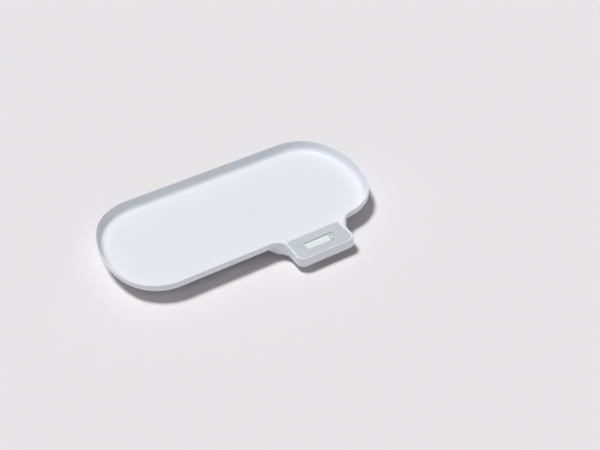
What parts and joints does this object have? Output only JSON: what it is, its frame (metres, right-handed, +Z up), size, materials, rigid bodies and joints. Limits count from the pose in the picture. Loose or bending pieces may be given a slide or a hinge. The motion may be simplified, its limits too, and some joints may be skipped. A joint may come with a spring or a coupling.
{
  "type": "digital baby weighing scale",
  "caption": "Low oblong dish on measuring feet, with a display pod with keys at its front right and a battery bay under its bottom cover.",
  "frame": {"origin": "on the ground, under the middle of the whole scale's box", "axes": "+X along the dish to the right, as the reader of the display sees it, +Y from the display side to the back, +Z up"},
  "size_m": [0.55, 0.33, 0.042],
  "materials": {
    "tray_plastic": "glossy cool white moulding",
    "cover_plastic": "fine textured white moulding",
    "panel_film": "pale grey film with a soft gloss",
    "clear_lens": "clear polished",
    "lcd_face": "pale reflective display with dark segments",
    "frame_plastic": "plain moulding",
    "zebra_rubber": "layered black and grey",
    "board_laminate": "green solder mask",
    "chip_resin": "black resin",
    "switch_steel": "stamped steel",
    "key_plastic": "pale grey, soft gloss, with a small mark",
    "plunger_plastic": "black",
    "battery_sleeve": "printed foil sleeve, bare of words",
    "contact_steel": "nickel plated",
    "cell_steel": "stamped steel",
    "gauge_coating": "silicone coating",
    "foot_plastic": "plain moulding",
    "pad_rubber": "grey rubber",
    "lead_sleeve": "soft vinyl sleeve",
    "screw_steel": "zinc plated"
  },
  "bodies": {
    "scale_body": {"tray_shell": "tray_plastic", "bottom_cover": "cover_plastic", "display_panel": "panel_film", "lcd_lens": "clear_lens", "lcd_glass": "lcd_face", "lcd_frame": "frame_plastic", "zebra_strips": "zebra_rubber", "main_board": "board_laminate", "board_chips": "chip_resin", "key_switches": "switch_steel", "batteries": "battery_sleeve", "battery_springs": "contact_steel", "battery_plates": "contact_steel", "load_cell_fl": "cell_steel", "load_cell_fr": "cell_steel", "load_cell_bl": "cell_steel", "load_cell_br": "cell_steel", "strain_gauges": "gauge_coating", "cell_leads": "lead_sleeve", "battery_leads": "lead_sleeve", "cover_screws": "screw_steel", "board_screws": "screw_steel"},
    "left_key_body": {"left_key": "key_plastic", "left_plunger": "plunger_plastic"},
    "right_key_body": {"right_key": "key_plastic", "right_plunger": "plunger_plastic"},
    "door_body": {"battery_door": "cover_plastic"},
    "foot_fl_body": {"foot_cup_fl": "foot_plastic", "foot_pad_fl": "pad_rubber"},
    "foot_fr_body": {"foot_cup_fr": "foot_plastic", "foot_pad_fr": "pad_rubber"},
    "foot_bl_body": {"foot_cup_bl": "foot_plastic", "foot_pad_bl": "pad_rubber"},
    "foot_br_body": {"foot_cup_br": "foot_plastic", "foot_pad_br": "pad_rubber"}
  },
  "joints": [
    {"name": "left_key_press", "type": "slide", "parent": "scale_body", "child": "left_key_body", "axis": [0, 0, -1], "range_m": [0, 0.0005], "stiffness_N_per_m": 2000, "springref_m": -0.0003},
    {"name": "right_key_press", "type": "slide", "parent": "scale_body", "child": "right_key_body", "axis": [0, 0, -1], "range_m": [0, 0.0005], "stiffness_N_per_m": 2000, "springref_m": -0.0003},
    {"name": "battery_door_slide", "type": "slide", "parent": "scale_body", "child": "door_body", "axis": [-1, 0, 0], "range_m": [0, 0.045]},
    {"name": "foot_fl_press", "type": "slide", "parent": "scale_body", "child": "foot_fl_body", "axis": [0, 0, 1], "range_m": [0, 0.0005], "stiffness_N_per_m": 4000, "springref_m": -0.002, "deforming": ["load_cell_fl"]},
    {"name": "foot_fr_press", "type": "slide", "parent": "scale_body", "child": "foot_fr_body", "axis": [0, 0, 1], "range_m": [0, 0.0005], "stiffness_N_per_m": 4000, "springref_m": -0.002, "deforming": ["load_cell_fr"]},
    {"name": "foot_bl_press", "type": "slide", "parent": "scale_body", "child": "foot_bl_body", "axis": [0, 0, 1], "range_m": [0, 0.0005], "stiffness_N_per_m": 4000, "springref_m": -0.002, "deforming": ["load_cell_bl"]},
    {"name": "foot_br_press", "type": "slide", "parent": "scale_body", "child": "foot_br_body", "axis": [0, 0, 1], "range_m": [0, 0.0005], "stiffness_N_per_m": 4000, "springref_m": -0.002, "deforming": ["load_cell_br"]}
  ]
}
